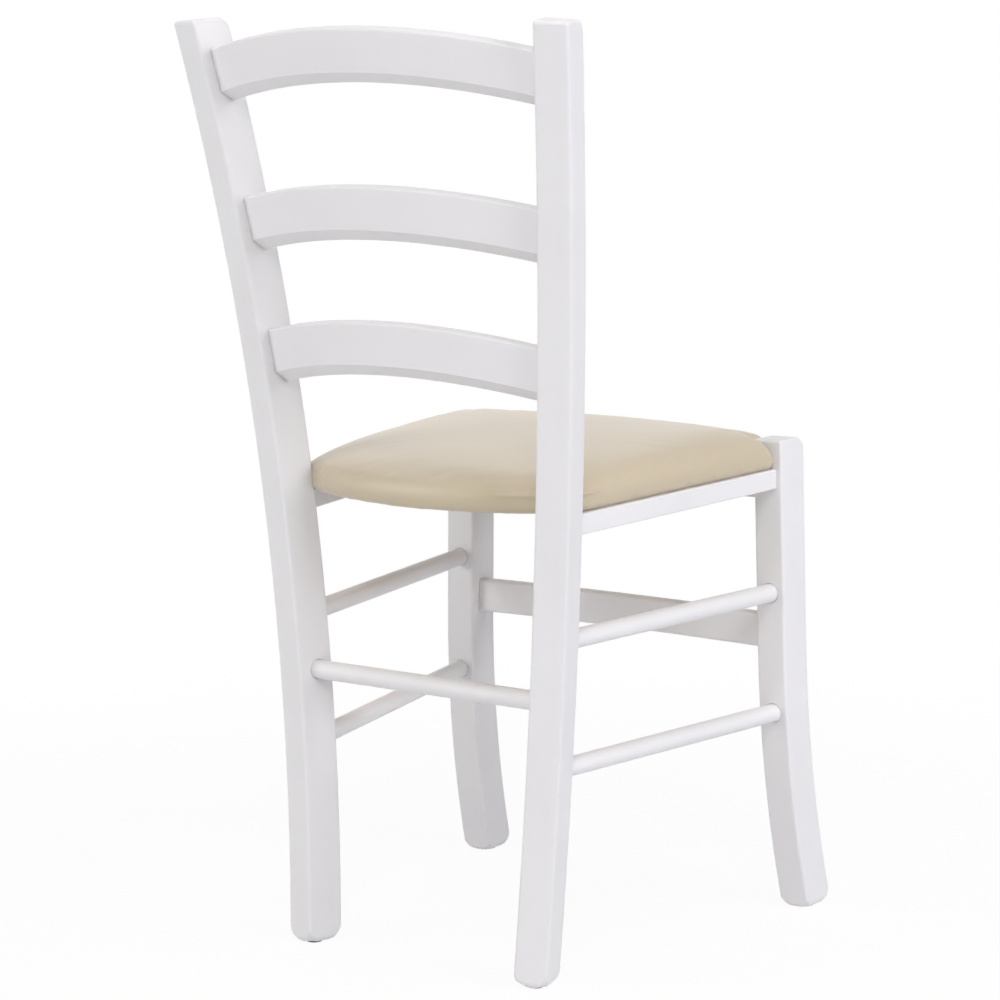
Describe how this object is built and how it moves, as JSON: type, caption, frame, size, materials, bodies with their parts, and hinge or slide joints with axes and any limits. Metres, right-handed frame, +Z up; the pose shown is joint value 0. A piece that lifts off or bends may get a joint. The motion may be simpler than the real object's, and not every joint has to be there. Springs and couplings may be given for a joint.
{
  "type": "upholstered ladder-back dining chair",
  "caption": "Dining chair of white lacquered beech with splayed back posts, arched bevelled slats, round side stretchers, flared front legs and a padded faux-leather seat.",
  "frame": {"origin": "middle of the chair's footprint box, on the floor", "axes": "+Z up, the sitter faces -Y, +X towards the sitter's left"},
  "size_m": [0.432, 0.5028, 0.872],
  "materials": {
    "white_lacquered_beech": "satin",
    "cream_faux_leather": "satin",
    "plywood": "raw",
    "seat_foam": "matte",
    "bright_steel": "bright",
    "dark_glide_plastic": "matte"
  },
  "bodies": {
    "root": {"rear_post_left": "white_lacquered_beech", "rear_post_right": "white_lacquered_beech", "front_leg_left": "white_lacquered_beech", "front_leg_right": "white_lacquered_beech", "top_slat": "white_lacquered_beech", "middle_slat": "white_lacquered_beech", "lower_slat": "white_lacquered_beech", "side_rail_left": "white_lacquered_beech", "side_rail_right": "white_lacquered_beech", "front_rail": "white_lacquered_beech", "side_dowel_upper_left": "white_lacquered_beech", "side_dowel_upper_right": "white_lacquered_beech", "side_dowel_lower_left": "white_lacquered_beech", "side_dowel_lower_right": "white_lacquered_beech", "rear_dowel": "white_lacquered_beech", "front_stretcher": "white_lacquered_beech", "seat_board": "plywood", "seat_foam": "seat_foam", "seat_cover": "cream_faux_leather", "seat_screws": "bright_steel", "cover_staples": "bright_steel", "foot_glide_rear_left": "dark_glide_plastic", "foot_glide_rear_right": "dark_glide_plastic", "foot_glide_front_left": "dark_glide_plastic", "foot_glide_front_right": "dark_glide_plastic", "glide_nails": "bright_steel"}
  },
  "joints": []
}
